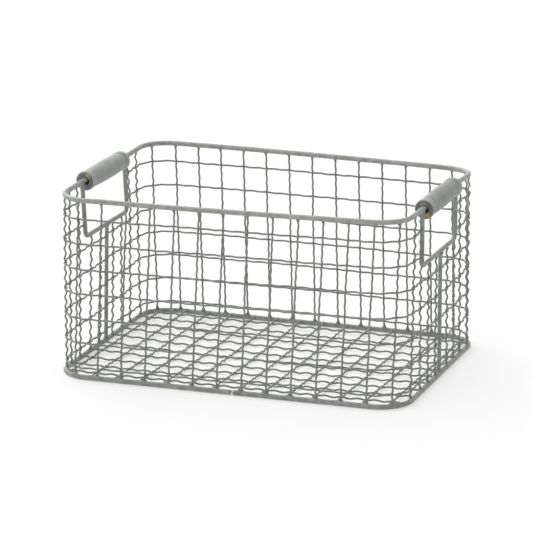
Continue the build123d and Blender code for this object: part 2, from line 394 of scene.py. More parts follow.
def twist(place):
    """Twists and lifts a wall's points by what has happened to the rim, most at the rim itself."""
    lengthwise = place[:, 0] / half_length
    depthwise = place[:, 1] / half_depth
    place[:, 2] -= rim_twist * lengthwise * depthwise ** 3 * place[:, 2] / rim_height
    top_share = np.clip((place[:, 2] - weft_heights[0]) / (rim_height - weft_heights[0]), 0, 1)
    front, back = [
        np.interp(place[:, 0] / MM, rim_lift_places, rim_lifts[panel]) * MM
        for panel in half_turns
    ]
    place[:, 2] += np.where(place[:, 1] < 0, front, back) * depthwise ** 2 * top_share


def push_share(height):
    """How much of the push a height gets: all at the loop's bar, none at the rim and the ring."""
    below = np.clip((height - ring_height) / (loop_bar_height - ring_height), 0, 1)
    above = np.clip((rim_height - height) / (rim_height - loop_bar_height), 0, 1)
    return np.minimum(below, above)


def pushed_in(x, height):
    """Where a rod on an end wall stands, for an array of heights."""
    return x + end_wall_push * push_share(height) * (x < 0)


def push_mesh(place):
    """Moves a mesh wire's points on the left end wall in, with the loop and the strut."""
    share = (end_straight - np.abs(place[:, 1])) / (end_straight - loop_half_width)
    share = smooth(np.clip(share, 0, 1)) * (place[:, 0] < 0)
    place[:, 0] += end_wall_push * push_share(place[:, 2]) * share


def leg_place(hand, panel):
    """How far from the middle of its end wall a loop reaches, on one panel's side."""
    return loop_half.y - loop_narrowing[hand] - half_turns[panel] * loop_shift[hand]


def weft_height_at(panel, weft_index, along):
    """The height of a weft, at distances along its panel."""
    height = weft_heights[weft_index]
    most = upper_weft_share if height > loop_bar_height else 1
    return height + most * np.interp(along / MM, weft_shift_places, weft_shifts[panel]) * MM


def upright_along(panel, index, share):
    """How far along its panel an upright stands, at a share of its height."""
    wire = uprights[panel][index]
    at_foot, at_top = upright_shifts[panel][index]
    along = wire["foot"] + (wire["top"] - wire["foot"]) * share
    if abs(wire["top"] - wire["foot"]) > wire_radius:
        along = along + extra_lean[panel] * (2 * share - 1)
    if panel == "back" and wall_start < wire["foot"] < wall_start + straight_x:
        along = along + back_squeeze * (wall_start + straight_x - wire["foot"]) / straight_x
    return along + (at_foot + (at_top - at_foot) * share) * MM


def on_panel(panel, along, height):
    """Points on a panel as use has left it, and the directions out of the basket."""
    place, out = panel_place(along)
    place[:, 2] = height
    place[:, :2] *= half_turns[panel]
    out[:, :2] *= half_turns[panel]
    push_mesh(place)
    twist(place)
    return place, out


# %% [markdown]
# ## The crimp
# This mesh is pre-crimped: each wire is pressed into a wave that runs on between the crossings, and
# the crests lock over the wires that cross it. The long wires have three half waves to a cell, and
# the wires that cross them have five. One cosine does it all. At a crossing the wire stands out to
# its own side by about one radius. At the next one, an odd number of half waves later, it stands
# out to the other side.

# %% How far a wire stands out, by distance along it
long_half_waves = 3
cross_half_waves = 5


def crimp(distance, crossed, half_waves):
    """How far a wire stands out, and its wave, from the places and sides where others cross it."""
    depth = long_crimp_depth if half_waves == long_half_waves else cross_crimp_depth
    places, signs = np.array(crossed).T
    cell = np.clip(np.searchsorted(places, distance, side="right") - 1, 0, len(places) - 2)
    share = (distance - places[cell]) / (places[cell + 1] - places[cell])
    wave = signs[cell] * np.cos(half_waves * math.pi * share)
    from_end = np.minimum(distance - distance[0], distance[-1] - distance)
    settle = np.clip(from_end / (mesh_pitch / half_waves), 0, 1)
    return depth * wave * smooth(settle), wave * settle


def weave_side(wire_index, weft_index):
    """Plus one where the weft passes outside the upright, minus one where it passes inside."""
    return 1 - (wire_index + weft_index) % 2 * 2


# %% [markdown]
# ## Welded ends
# Where a mesh wire meets a rod, its tip is spread along the rod and held by weld and paint, so it
# ends in a small web. The tube's rings simply grow wider along the rod over the last few
# millimetres. The webs at the uprights' feet are the largest and nearly straight-sided, and those
# under the rim are hollow-sided and lean to one side by chance.

# %% Lay one crimped wire with its two webs
wire_sides = 10
samples_per_wave = 5
web_thickening = 0.2
foot_web = {"length": 4.6 * MM, "half_width": 3.2 * MM, "power": 1.25, "lean": 0.4 * MM}
rim_web = {"length": 4.4 * MM, "half_width": 2.5 * MM, "power": 1.9, "lean": 1.1 * MM}
side_web = {"length": 3.8 * MM, "half_width": 2.0 * MM, "power": 1.8, "lean": 0.7 * MM}


def lay_wire(tubes, distance, points, side, out, offset, wave, webs):
    """Adds one wire: its line, pushed out by its crimp, with a web at each end."""
    wider = np.zeros_like(distance)
    lean = np.zeros_like(distance)
    for away, web in zip((distance - distance[0], distance[-1] - distance), webs):
        near = np.clip(1 - away / web["length"], 0, 1) ** web["power"]
        wider += near * (web["half_width"] - wire_radius) * chance.uniform(0.6, 1.15)
        lean += near * web["lean"] * chance.choice((-1.0, -0.7, 0.2, 0.8, 1.0))
    middle = points + out * offset[:, None] + side * lean[:, None]
    half_out = wire_radius + web_thickening * wider
    rings = tube_rings(*dome(middle, side, out, wire_radius + wider, half_out), wire_sides)
    wave = np.pad(wave, dome_rings)[:, None]
    facing = np.sin(around(wire_sides)) * np.sign(wave)
    tubes.add(rings, wear=np.clip(np.abs(wave) ** 3 * facing, 0, 1))


def spaced(start, end, half_waves):
    """Distances along a wire, close enough together for its crimp."""
    count = int((end - start) / (mesh_pitch / half_waves) * samples_per_wave) + 2
    return np.linspace(start, end, count)


# %% [markdown]
# ## Uprights
# The uprights stand in eight groups, one for each wall and corner, as the frame groups them. Each
# starts inside the base ring's rod and ends inside the rim's rod or the loop's bar, as far as the
# weld takes it.

# %% Lay the uprights of both panels
weld_depth = 1.0 * MM
groups = {}
ring_feet = []
rim_feet = []
for panel, wires in uprights.items():
    for wire_index, wire in enumerate(wires):
        high = wire["high"] + weld_depth
        height = spaced(wire["low"] - weld_depth, high, cross_half_waves)
        share = (height - wire["low"]) / (wire["high"] - wire["low"])
        along = upright_along(panel, wire_index, share) + held_drift(height, share, "upright")
        place, out = on_panel(panel, along, height)
        crossed = []
        for weft_index in range(len(weft_heights)):
            middle = (wire["foot"] + wire["top"]) / 2
            crossing = float(weft_height_at(panel, weft_index, middle))
            if crossing < high:
                crossed.append((crossing, -weave_side(wire_index, weft_index)))
        offset, wave = crimp(height, sorted(crossed), cross_half_waves)
        tubes = groups.setdefault(wire["node"], TubeMesh())
        side = np.cross(out, upward)
        lay_wire(tubes, height, place, side, out, offset, wave, (foot_web, rim_web))
        ring_feet.append(place[0, :2])
        if high > rim_height - 3 * rod_radius:
            rim_feet.append(place[-1, :2])

wire_pieces = [tubes.build("crimped_" + node, node) for node, tubes in groups.items()]

# %% [markdown]
# ## Wefts
# The wefts are the long wires. They weave in and out of the uprights all the way round a panel. The
# upper two stop at the legs of the handle loops, and the others stop at the struts.

# %% Lay the wefts of both panels
for panel, wires in uprights.items():
    hands = ("left", "right") if panel == "front" else ("right", "left")
    for weft_index, weft_height in enumerate(weft_heights):
        first, last = strut_radius, strut_radius
        if weft_height > loop_bar_height:
            first, last = [leg_place(hand, panel) for hand in hands]
        distance = spaced(first - weld_depth, panel_length - last + weld_depth, long_half_waves)
        crossed = []
        for wire_index, wire in enumerate(wires):
            share = (weft_height - wire["low"]) / (wire["high"] - wire["low"])
            if share < 1:
                along = upright_along(panel, wire_index, share)
                crossed.append((along, weave_side(wire_index, weft_index)))
        offset, wave = crimp(distance, crossed, long_half_waves)
        height = weft_height_at(panel, weft_index, distance)
        height += drift(distance, weft_drift, "weft")
        place, out = on_panel(panel, distance, height)
        side = np.tile(upward, (len(distance), 1))
        tubes = TubeMesh()
        lay_wire(tubes, distance, place, side, out, offset, wave, (side_web, side_web))
        node = f"{panel}_weft_{weft_index + 1}"
        wire_pieces.append(tubes.build("crimped_" + node, node))

# %% [markdown]
# ## Floor
# The floor is its own piece of mesh, cut to the inside of the base ring. Its wires end on the ring,
# a little above its middle, and the sheet sags under its own weight until it nearly touches what
# the basket stands on. It was laid in by hand, about one degree askew, and its rows aren't quite
# straight, so each has its own small shift at the left, in the middle and at the right, in
# millimetres. Its wires are crimped less deeply than those of the walls.

# %% Lay the floor's wires
floor_edge_rise = 1.1 * MM
floor_sag = 1.6 * MM
floor_skew = math.radians(-1.0)
floor_crimp_shares = (0.62, 0.85)
floor_row_shifts = (
    (-5.0, -2.6, 2.5), (-5.0, -3.0, 1.5), (-5.0, -4.4, 0.0), (-2.6, -5.0, -0.5),
    (0.5, -3.5, -1.5), (4.0, -4.2, -3.0), (5.0, -2.4, -3.5), (4.0, -3.0, -4.5),
    (4.5, 0.0, -3.0), (1.0, 1.0, 2.0),
)
floor_shift_reach = 145 * MM
floor_bow_limit = 1.1
floor_nodes = ("floor_lengthwise_wires", "floor_crosswise_wires")
floor_runs = []
for axis, node in enumerate(floor_nodes):
    runs = [ends_along(points, axis) for points in islands(node)]
    runs.sort(key=lambda run: run[0][1 - axis])
    floor_runs.append(runs)
    print(node, "at", in_mm((low[1 - axis] + high[1 - axis]) / 2 for low, high in runs))


def floor_across(axis, index, distance):
    """Where a floor wire lies across its own direction, at distances along it."""
    low, high = floor_runs[axis][index]
    share = (distance - low[axis]) / (high[axis] - low[axis])
    across = low[1 - axis] + (high[1 - axis] - low[1 - axis]) * share
    across = across + (1 - 2 * axis) * math.tan(floor_skew) * distance
    if axis == 0:
        left, middle, right = floor_row_shifts[index]
        along = np.clip(distance / floor_shift_reach, -floor_bow_limit, floor_bow_limit)
        bow = (left + right) / 2 - middle
        across = across + (middle + (right - left) / 2 * along + bow * along * along) * MM
    return across


def lay_floor(axis, half_waves):
    """Lays the floor wires of one direction over and under those of the other."""
    tubes = TubeMesh()
    turned = 2 * axis - 1
    for own_index, (low, high) in enumerate(floor_runs[axis]):
        distance = spaced(low[axis] - weld_depth, high[axis] + weld_depth, half_waves)
        own_place = (low[1 - axis] + high[1 - axis]) / 2
        crossed = []
        for index in range(len(floor_runs[1 - axis])):
            place = float(floor_across(1 - axis, index, own_place))
            if distance[0] + 2 * wire_radius < place < distance[-1] - 2 * wire_radius:
                crossed.append((place, turned * weave_side(own_index, index)))
        offset, wave = crimp(distance, crossed, half_waves)
        offset *= floor_crimp_shares[axis]
        share = (distance - low[axis]) / (high[axis] - low[axis])
        points = np.zeros((len(distance), 3))
        points[:, axis] = distance
        points[:, 1 - axis] = floor_across(axis, own_index, distance)
        points[:, 1 - axis] += held_drift(distance, share, "floor")
        from_middle = np.abs(points[:, :2]) / (ring_half_length, ring_half_depth)
        from_middle_x, from_middle_y = np.clip(from_middle, 0, 1).T
        sag = (1 - from_middle_x ** 4) * (1 - from_middle_y ** 2)
        points[:, 2] = ring_height + floor_edge_rise - floor_sag * sag
        side = np.zeros((len(distance), 3))
        side[:, 1 - axis] = turned
        out = np.tile(upward, (len(distance), 1))
        lay_wire(tubes, distance, points, side, out, offset, wave, (side_web, side_web))
        ring_feet.extend(points[[0, -1], :2])
    return tubes.build("crimped_" + floor_nodes[axis], floor_nodes[axis])


wire_pieces.append(lay_floor(0, long_half_waves))
wire_pieces.append(lay_floor(1, cross_half_waves))

# %% [markdown]
# ## Hoops
# The rim and the base ring are bent from 5 mm rod. The rim is closed. The base ring's two ends are
# butted in the middle of the front with a small gap, which the frame's solid also has, so it is
# found there. Daylight shows through it in the photograph, so its right end is cut back a little.
# Each wire that ends on a hoop leaves a low lump of weld under the paint.

# %% Lay the rim and the base ring
rod_sides = 24
corner_steps = 20
hoop_step = 1.6 * MM
weld_lump_reach = 2.4 * MM
rim_weld = 0.35 * MM
ring_weld = 0.7 * MM
top_highlight = 0.6
gap_search = 40 * MM
gap_closing = 0.2 * MM
gap_opening = 1.1 * MM


def arc(middle, radius, start, steps):
    """The points of a quarter of a circle, from an angle on."""
    turn = np.linspace(start, start + math.pi / 2, steps + 1)
    return [middle + radius * np.array((math.cos(angle), math.sin(angle))) for angle in turn]


def hoop_line(half_x, half_y, radius):
    """The middle line of a hoop, anticlockwise from above, from the middle of the front."""
    places = [(0.0, -half_y)]
    for corner, signs in enumerate(((1, -1), (1, 1), (-1, 1), (-1, -1))):
        middle = np.array((half_x - radius, half_y - radius)) * signs
        places += arc(middle, radius, math.pi / 2 * (corner - 1), corner_steps)
    return np.array(places)


def divided(places, longest):
    """The same line with extra points, so that no stretch is longer than a given length."""
    result = [places[0]]
    for here, there in zip(places, places[1:]):
        count = max(1, math.ceil(np.linalg.norm(there - here) / longest))
        for step in range(1, count + 1):
            result.append(here + (there - here) * step / count)
    return np.array(result)


def weld_lumps(line, feet, most):
    """How far the welds stand out along a hoop's line, given where the wires end on it."""
    lumps = np.zeros(len(line))
    for foot in feet:
        away = np.linalg.norm(line - foot, axis=1) / (weld_lump_reach * chance.uniform(0.7, 1.3))
        lumps = np.maximum(lumps, most * chance.uniform(0.4, 1.2) * np.exp(-away * away))
    return lumps


def lay_hoop(node, bend, gap, feet, weld_side, most):
    """Lays a hoop. With a gap, its two ends stop short of each other in front."""
    middle, half = box_of(node)
    half_y = half.y - rod_radius
    places = hoop_line(half.x - rod_radius, half_y, bend)
    if gap is None:
        line = divided(np.vstack([places, places[:1]]), hoop_step)[:-1]
    else:
        places[0, 0] = gap[1]
        line = divided(np.vstack([places, (gap[0], -half_y)]), hoop_step)
    points = np.column_stack([line, np.full(len(line), middle.z)])
    if gap is None:
        side = np.cross(unit(np.roll(points, -1, axis=0) - np.roll(points, 1, axis=0)), upward)
        twist(points)
    else:
        side = np.cross(unit(np.gradient(points, axis=0)), upward)
    out = np.tile(upward, (len(points), 1))
    radii = np.full(len(points), rod_radius)
    rings = tube_rings(points, side, out, radii, radii, rod_sides)
    turn = around(rod_sides)
    facing = np.clip(0.3 + weld_side * np.sin(turn) - 0.5 * np.cos(turn), 0, 1)
    lumps = weld_lumps(line, feet, most)[:, None] * facing
    rings += (rings - points[:, None, :]) / rod_radius * lumps[:, :, None]
    tubes = TubeMesh()
    # A painted highlight: a narrow band along the top of each hoop's rod is painted lighter.
    tubes.add(rings, closed=gap is None, wear=top_highlight * np.clip(np.sin(turn), 0, 1) ** 6)
    return tubes.build(node + "_round", node)


ring_points = np.concatenate(islands("base_ring"))
ring_front = ring_points[ring_points[:, 1] < -ring_half_depth + rod_radius][:, 0]
ring_front = ring_front[np.abs(ring_front) < gap_search]
base_gap = ring_front.min() + gap_closing, ring_front.max() + gap_opening
print("the base ring's ends stand at", in_mm(base_gap))
rim_bend, ring_bend = corner_radius - hoop_offset, corner_radius + hoop_offset
rim_piece = lay_hoop("rim_rod", rim_bend, None, rim_feet, -1, rim_weld)
rod_pieces = [lay_hoop("base_ring", ring_bend, base_gap, ring_feet, 1, ring_weld)]

# %% [markdown]
# ## Loops and struts
# Each handle loop is a U of rod, welded under the rim. The strut below it is welded between the
# loop's bar and the base ring. Their ends swell a little, as a weld does.

# %% Lay the loops and the struts
loop_swell = 0.9 * MM
strut_swell = 1.5 * MM
weld_reach = 4.5 * MM
joint_depth = 1.6 * MM
bend_steps = 10
loop_step = 1.5 * MM
strut_rings = 80


def lay_rod(name, node, line, radius, swell):
    """Lays a rod along a line in an upright plane. It swells at its two welded ends."""
    steps = np.linalg.norm(np.diff(line, axis=0), axis=1)
    distance = np.concatenate([[0], np.cumsum(steps)])
    away = np.minimum(distance, distance[-1] - distance)
    radii = radius + swell * np.clip(1 - away / weld_reach, 0, 1) ** 2
    out = np.tile((1.0, 0, 0), (len(line), 1))
    side = np.cross(out, unit(np.gradient(line, axis=0)))
    tubes = TubeMesh()
    tubes.add(tube_rings(line, side, out, radii, radii, rod_sides)[:, ::-1])
    return tubes.build(name, node)


def loop_line(hand):
    """The middle line of a handle loop, down one leg, along the bar and up the other."""
    place, _ = box_of(f"handle_loop_{hand}")
    middle = place.y + loop_shift[hand]
    half_width = loop_half_width - loop_narrowing[hand]
    top = rim_height - rod_radius + joint_depth
    places = [(middle - half_width, top)]
    for sign, start, bend in ((-1, math.pi, near_bend_radius), (1, 1.5 * math.pi, far_bend_radius)):
        centre = np.array((middle + sign * (half_width - bend), loop_bar_height + bend))
        places += arc(centre, bend, start, bend_steps)
    places.append((middle + half_width, top))
    line = divided(np.array(places), loop_step)
    return np.column_stack([pushed_in(place.x, line[:, 1]), line])


def strut_line(hand):
    """The middle line of a strut, from inside the base ring to inside the loop's bar."""
    middle, half = box_of(f"strut_{hand}")
    reach = half.z + joint_depth
    height = np.linspace(middle.z - reach, middle.z + reach, strut_rings)
    return np.column_stack([pushed_in(middle.x, height), np.full(strut_rings, middle.y), height])


for hand in ("left", "right"):
    loop, strut = f"handle_loop_{hand}", f"strut_{hand}"
    rod_pieces += [
        lay_rod(loop + "_bent", loop, loop_line(hand), loop_rod_radius, loop_swell),
        lay_rod(strut + "_round", strut, strut_line(hand), strut_radius, strut_swell),
    ]

# %% [markdown]
# ## Grips
# A grip is turned on a lathe: a bead at each end with a groove beside it, a barrel that swells a
# little, and three fine rings about its middle. A lathe piece is an outline turned about a line, so
# the outline is written as points along the grip with their radii, and the bead's end and the
# barrel are arcs. Each row of the tables below says how far in from the end a point lies, how far
# outside the bore or inside the widest radius, both in millimetres, and how much painted highlight
# and scuffing its paint gets.

# %% The outline of a grip, which lies a little inside the corners of the solid's 24 sides
grip_round_share = 0.992
grip_radius = grip_half.z * grip_round_share
bore_radius = 4.25 * MM
# In each row, the third number is the painted highlight and scuffing that the paint gets there.
bore_rows = ((12, 0, 0), (0.7, 0, 0), (0.35, 0.35, 0.3), (0.3, 1.2, 0))
bead_rows = (
    (2.97, 0, 0.1), (5.5, 0.1, 0.2), (6.2, 0.4, 1.0), (6.6, 1.0, 0.1), (7.15, 2.0, 0),
    (7.9, 1.25, 0.5), (8.2, 0.85, 1.0), (8.9, 0.85, 0.2),
)
end_face_row = (0.1, 2.4, 0)
end_round = 1.6
end_steps = 7
groove_place = 7.0 * MM
barrel_start = 9.4 * MM
barrel_drop = 0.85 * MM
barrel_steps = 130
fine_ring_places = (0.0, 5.6 * MM)
fine_ring_depth = 0.9 * MM
fine_ring_half = 0.85 * MM


def grip_outline(end):
    """A grip's outline, as distance along, radius and how much painted highlight and scuffing that
    place gets.
    """
    turn = np.linspace(0, math.pi / 2, end_steps)
    inward, less = end_round * (1 - np.cos(turn)), end_round * (1 - np.sin(turn))
    # The end's rounding takes a painted highlight, most at its middle.
    rows = [end_face_row, *zip(inward, less, 0.45 * np.sin(2 * turn)), *bead_rows]
    half = [(end - inward * MM, bore_radius + more * MM, worn_and_lit) for inward, more, worn_and_lit in bore_rows]
    half += [(end - inward * MM, grip_radius - less * MM, worn_and_lit) for inward, less, worn_and_lit in rows]
    barrel = end - barrel_start
    for along in np.linspace(barrel, 0, barrel_steps + 1):
        radius = grip_radius - barrel_drop * (along / barrel) ** 2
        rubbed_and_lit = 0
        for place in fine_ring_places:
            away = abs(along - place) / fine_ring_half
            radius -= fine_ring_depth * max(0, 1 - away)
            # A painted highlight on each edge of a fine ring.
            rubbed_and_lit += max(0, 1 - 2.2 * abs(away - 1.15))
        half.append((along, radius, rubbed_and_lit))
    return half + [(-along, radius, rubbed_and_lit) for along, radius, rubbed_and_lit in reversed(half[:-1])]


def grime_at(along, radius, end):
    """How much painted shade lies on the end faces, in the grooves and beside the fine rings."""
    if abs(along) > end - 0.5 * MM and radius < grip_radius - 1.0 * MM:
        return 0.62
    if abs(abs(along) - (end - groove_place)) < 0.5 * MM:
        return 0.7
    in_ring = [abs(abs(along) - place) < 0.45 * fine_ring_half for place in fine_ring_places]
    return 0.45 if any(in_ring) else 0.0


# %% Turn the grips
grip_sides = 72
grip_slide = {"left": -2.6 * MM, "right": -4.2 * MM}
grip_trim = {"left": 0.8 * MM, "right": 0.0}
chipped = {
    "left": ((1.05, 0.55, 4.6 * MM),),
    "right": ((1.75, 0.6, 3.0 * MM), (-1.15, 0.6, 4.2 * MM)),
}


def bare_wood(hand, along, radius, angle):
    """How bare the wood is at one place: chipped in patches round the bore at the near end."""
    if radius < bore_radius + 0.1 * MM:
        return 0.55
    if along > 2 * MM - grip_half.y:
        return 0.0
    most = 0.0
    for middle, half_angle, reach in chipped[hand]:
        turned = abs(math.remainder(angle - middle, 2 * math.pi)) / half_angle
        outward = (radius - bore_radius) / reach
        most = max(most, 1.25 - 0.55 * turned ** 2 - 0.65 * outward ** 2)
    return most


def turn_grip(hand):
    """Turns one grip about its own axis, and closes its bore."""
    middle = np.array(box_of(f"grip_{hand}")[0]) + (0, grip_slide[hand], 0)
    end = grip_half.y - grip_trim[hand]
    outline = grip_outline(end)
    turn = around(grip_sides)
    along, radius, rubbed_and_lit = [column[:, None] for column in np.array(outline).T]
    steps = (radius * np.cos(turn), np.tile(along, grip_sides), radius * np.sin(turn))
    bare = [[bare_wood(hand, *row[:2], angle) for angle in turn] for row in outline]
    # Painted shade on the end faces and in the grooves, as a mark on every point.
    grime = [[grime_at(*row[:2], end)] for row in outline]
    tubes = TubeMesh()
    tubes.add(middle + np.stack(steps, axis=-1), True, rubbed_and_lit, bare=bare, grime=grime)
    return tubes.build(f"grip_{hand}_turned", f"grip_{hand}", f"{hand}_grip", "painted_grip")


grip_pieces = [turn_grip(hand) for hand in ("left", "right")]


# %% [markdown]
# ## Finishes
# The whole basket is dipped or sprayed in one sage grey, satin and a little uneven. Two effects
# serve every painted material, so each is a node group: the paint's slow and fine variation, and
# its chips, scuffs and painted highlights where the surface stands proud.

# %% Small helpers for shader nodes
def add(tree, kind, values=None, **settings):
    """Adds a node, sets its properties, and gives its sockets a value or a link each."""
    node = tree.nodes.new(kind)
    for name, value in settings.items():
        setattr(node, name, value)
    for name, value in (values or {}).items():
        if isinstance(value, bpy.types.NodeSocket):
            tree.links.new(value, node.inputs[name])
        else:
            node.inputs[name].default_value = value
    return node


def maths(tree, operation, *values):
    """One calculation with numbers and sockets."""
    return add(tree, "ShaderNodeMath", dict(enumerate(values)), operation=operation).outputs[0]


def blend(tree, factor, first, second, **settings):
    """A mix of two colours."""
    values = {"Factor": factor, "A": first, "B": second}
    return add(tree, "ShaderNodeMix", values, data_type="RGBA", **settings).outputs["Result"]


def noise(tree, place, scale, detail, **more):
    """The outputs of a noise."""
    values = {"Vector": place, "Scale": scale, "Detail": detail, **more}
    return add(tree, "ShaderNodeTexNoise", values).outputs


def mask(tree, value, low, high):
    """Nothing up to the low value, one from the high value on, and a share between them."""
    values = {"Value": value, "From Min": low, "From Max": high}
    return add(tree, "ShaderNodeMapRange", values).outputs["Result"]


def mark(tree, name):
    """A mark that the meshes carry on every point."""
    return add(tree, "ShaderNodeAttribute", attribute_name=name).outputs["Fac"]


def linear(*levels):
    """A colour written in the usual 0 to 255 steps, as the linear values that a shader takes."""
    shares = [level / 255 for level in levels]
    return (*[s / 12.92 if s <= 0.04045 else ((s + 0.055) / 1.055) ** 2.4 for s in shares], 1.0)


def new_group(name, inputs, outputs):
    """A node group and its inputs. A socket with a number is a value, the others are colours."""
    group = bpy.data.node_groups.new(name, "ShaderNodeTree")
    for in_out, sockets in (("INPUT", inputs), ("OUTPUT", outputs)):
        for label, number in sockets.items():
            kind = "NodeSocketColor" if number is None else "NodeSocketFloat"
            made = group.interface.new_socket(name=label, in_out=in_out, socket_type=kind)
            if number is not None:
                made.default_value = number
    return group, add(group, "NodeGroupInput").outputs


# %% Node group: uneven paint, slowly in tone and finely in gloss, with a faint orange peel
inputs = {
    "Paint": None, "Dark Paint": None, "Patch Scale": 60.0, "Grain Scale": 900.0, "Roughness": 0.5,
}
outputs = {"Color": None, "Roughness Value": 0.0, "Height": 0.0}
uneven_paint, inside = new_group("uneven_paint", inputs, outputs)
place = add(uneven_paint, "ShaderNodeTexCoord").outputs["Object"]
patches = noise(uneven_paint, place, inside["Patch Scale"], 4.0, Roughness=0.68)["Fac"]
grain = noise(uneven_paint, place, inside["Grain Scale"], 3.0)["Fac"]
tone = mask(uneven_paint, patches, 0.3, 0.7)
add(uneven_paint, "NodeGroupOutput", {
    "Color": blend(uneven_paint, tone, inside["Dark Paint"], inside["Paint"]),
    "Roughness Value": maths(uneven_paint, "MULTIPLY_ADD", grain, 0.22, inside["Roughness"]),
    "Height": grain,
})
print("group", uneven_paint.name, "has", len(uneven_paint.nodes), "nodes")

# %% Node group: chips, and scuffs with painted highlights, two masks from a proud mark and two noises
inputs = {"Proud": 0.0, "Chip Scale": 400.0, "Amount": 0.3}
chips, inside = new_group("chips_rubs_and_highlights", inputs, {"Rub and Highlight": 0.0, "Chip": 0.0})
place = add(chips, "ShaderNodeTexCoord").outputs["Object"]
fine = noise(chips, place, inside["Chip Scale"], 5.0)["Fac"]
broad = noise(chips, place, 35.0, 2.0)["Fac"]
rub_and_highlight = maths(chips, "MULTIPLY", inside["Proud"], broad)
add(chips, "NodeGroupOutput", {
    "Rub and Highlight": maths(chips, "MULTIPLY", rub_and_highlight, inside["Amount"]),
    "Chip": mask(chips, maths(chips, "MULTIPLY_ADD", rub_and_highlight, 0.35, fine), 0.62, 0.70),
})
print("group", chips.name, "has", len(chips.nodes), "nodes")


# %% What the paints share
def empty_tree(owner):
    """The node tree of a material or a world, with nothing in it."""
    owner.use_nodes = True
    owner.node_tree.nodes.clear()
    return owner.node_tree


def painted(tree, paint, dark, patch, grain, roughness, **wear):
    """The outputs of the two groups in a material: the paint's own, and its wear's."""
    base = {
        "Paint": linear(*paint), "Dark Paint": linear(*dark), "Patch Scale": patch,
        "Grain Scale": grain, "Roughness": roughness,
    }
    worn_and_lit = {"Proud": mark(tree, "wear"), **wear}
    return [
        add(tree, "ShaderNodeGroup", values, node_tree=group).outputs
        for values, group in ((base, uneven_paint), (worn_and_lit, chips))
    ]


def cover(tree, color, roughness, metallic, height, strength, depth):
    """Joins colour, gloss and bump in the surface shader."""
    bump = {"Height": height, "Strength": strength, "Distance": depth}
    surface = add(tree, "ShaderNodeBsdfPrincipled", {
        "Base Color": color, "Roughness": roughness, "Metallic": metallic,
        "Specular IOR Level": 0.45, "Normal": add(tree, "ShaderNodeBump", bump).outputs["Normal"],
    })
    add(tree, "ShaderNodeOutputMaterial", {"Surface": surface.outputs["BSDF"]})


# %% Painted wire, rods and rim
def make_painted_metal(name, paint, dark, rubbed_and_lit, patch, amount, bump_depth):
    """Satin paint on steel, scuffed lighter on the wires' crests and with a painted highlight along
    the hoops' tops, and a few small chips.
    """
    material = bpy.data.materials.new(name)
    tree = empty_tree(material)
    wear = {"Chip Scale": 520.0, "Amount": amount}
    base, worn_and_lit = painted(tree, paint, dark, patch, 1100.0, 0.36, **wear)
    # Lighter on the wires' crests where the paint is scuffed, and a painted highlight along the
    # hoops' tops.
    color = blend(tree, worn_and_lit["Rub and Highlight"], base["Color"], linear(*rubbed_and_lit))
    color = blend(tree, worn_and_lit["Chip"], color, linear(120, 116, 108))
    cover(tree, color, base["Roughness Value"], worn_and_lit["Chip"], base["Height"], 0.35, bump_depth)
    return material


mesh_colors = (144, 147, 140), (106, 110, 103), (180, 183, 175)
rod_colors = (160, 164, 156), (116, 120, 113), (180, 183, 175)
# The rim's copy of the paint is paler than the rods', as painted light that brightens the rim.
rim_colors = (172, 176, 167), (134, 138, 131), (190, 193, 185)
for pieces, name, colors, *finish in (
    (wire_pieces, "painted_mesh_wire", mesh_colors, 70.0, 0.8, 0.06 * MM),
    (rod_pieces, "painted_rod", rod_colors, 150.0, 0.6, 0.14 * MM),
    ([rim_piece], "painted_rim", rim_colors, 150.0, 0.6, 0.14 * MM),
):
    paint = make_painted_metal(name, *colors, *finish)
    for piece in pieces:
        piece.data.materials.append(paint)
    print(paint.name, "covers", len(pieces), "pieces")


# %% Painted grips
def make_painted_grip(name, paint, dark):
    """The same paint, chalkier, on turned wood that shows bare at the edge of the bore."""
    material = bpy.data.materials.new(name)
    tree = empty_tree(material)
    base, worn_and_lit = painted(tree, paint, dark, 90.0, 700.0, 0.42, Amount=1.3)
    place = add(tree, "ShaderNodeTexCoord").outputs["Object"]
    lathe, grain = [
        noise(tree, add(tree, "ShaderNodeMapping", mapping).outputs["Vector"], 1.0, detail)
        for mapping, detail in (
            ({"Vector": place, "Scale": (160.0, 1600.0, 160.0)}, 3.0),
            ({"Vector": place, "Scale": (900.0, 60.0, 900.0)}, 4.0),
        )
    ]
    color = blend(tree, 0.55, base["Color"], lathe["Color"], blend_type="OVERLAY")
    # Painted highlight: the beads' rounded edges and the edges of the fine rings are painted pale.
    color = blend(tree, worn_and_lit["Rub and Highlight"], color, linear(214, 217, 210))
    # Painted shade: the end faces and the grooves are painted darker.
    color = blend(tree, mark(tree, "grime"), color, linear(94, 97, 92))
    ragged = noise(tree, place, 330.0, 2.0)["Fac"]
    bare = mask(tree, maths(tree, "ADD", mark(tree, "bare"), ragged), 1.15, 1.25)
    wood = add(tree, "ShaderNodeValToRGB", {"Fac": grain["Fac"]})
    steps = ((0.35, (158, 134, 84)), (0.7, (208, 184, 124)))
    for element, (position, shade) in zip(wood.color_ramp.elements, steps):
        element.position = position
        element.color = linear(*shade)
    color = blend(tree, bare, color, wood.outputs["Color"])
    cover(tree, color, base["Roughness Value"], 0.0, lathe["Fac"], 0.4, 0.1 * MM)
    return material


# The left grip's copy of the paint is paler than the right's, as painted light that makes up for
# the light which the basket's mesh keeps from it.
grip_paints_and_light = (
    ("painted_left_grip", (162, 166, 160), (138, 142, 136)),
    ("painted_right_grip", (148, 152, 146), (122, 126, 120)),
)
for piece, finish in zip(grip_pieces, grip_paints_and_light):
    piece.data.materials.append(make_painted_grip(*finish))
    print(finish[0], "covers", piece.name)

